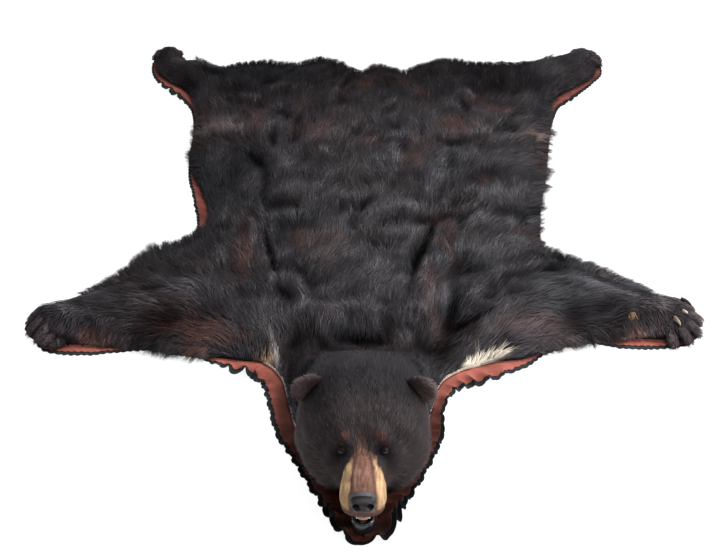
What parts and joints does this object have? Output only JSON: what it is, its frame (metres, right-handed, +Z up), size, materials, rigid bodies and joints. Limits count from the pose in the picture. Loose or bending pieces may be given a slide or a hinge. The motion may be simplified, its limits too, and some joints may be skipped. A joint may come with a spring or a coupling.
{
  "type": "bearskin rug",
  "caption": "Black bear pelt laid flat as a rug, with a mounted head with open jaws, spread clawed paws and a pinked red and black felt border",
  "frame": {"origin": "bottom centre of the bounding box, on the floor", "axes": "+Z up, head towards -Y, hind legs towards +Y, +X to the right of the picture"},
  "size_m": [1.5998, 1.9284, 0.2222],
  "materials": {
    "black_felt": "matt wool felt with a pinked edge",
    "red_felt": "matt rust-red wool felt",
    "fur": "long black hair with a soft sheen, tanned skin below",
    "eye": "dark glass eye",
    "nose": "moulded nose, painted, pebbled and satin",
    "lip": "moulded black lower jaw, wet gloss",
    "tongue": "moulded tongue, wet gloss",
    "tooth": "moulded teeth and gum",
    "claw_dark": "dark horn",
    "claw_pale": "horn, brown at the root and pale at the tip"
  },
  "bodies": {
    "root": {"black_felt": "black_felt", "red_felt": "red_felt", "pelt": "fur", "head": "fur", "ear_left": "fur", "ear_right": "fur", "eye_left": "eye", "eye_right": "eye", "nose": "nose", "lower_jaw": "lip", "tongue": "tongue", "upper_teeth": "tooth", "claw_left_fore_1": "claw_dark", "claw_left_fore_2": "claw_dark", "claw_left_fore_3": "claw_dark", "claw_left_fore_4": "claw_dark", "claw_left_fore_5": "claw_dark", "claw_right_fore_1": "claw_pale", "claw_right_fore_2": "claw_pale", "claw_right_fore_3": "claw_pale", "claw_right_fore_4": "claw_pale", "claw_right_fore_5": "claw_pale", "claw_left_hind_1": "claw_dark", "claw_left_hind_2": "claw_dark", "claw_left_hind_3": "claw_dark", "claw_left_hind_4": "claw_dark", "claw_left_hind_5": "claw_dark", "claw_right_hind_1": "claw_dark", "claw_right_hind_2": "claw_dark", "claw_right_hind_3": "claw_dark", "claw_right_hind_4": "claw_dark", "claw_right_hind_5": "claw_dark"}
  },
  "joints": []
}
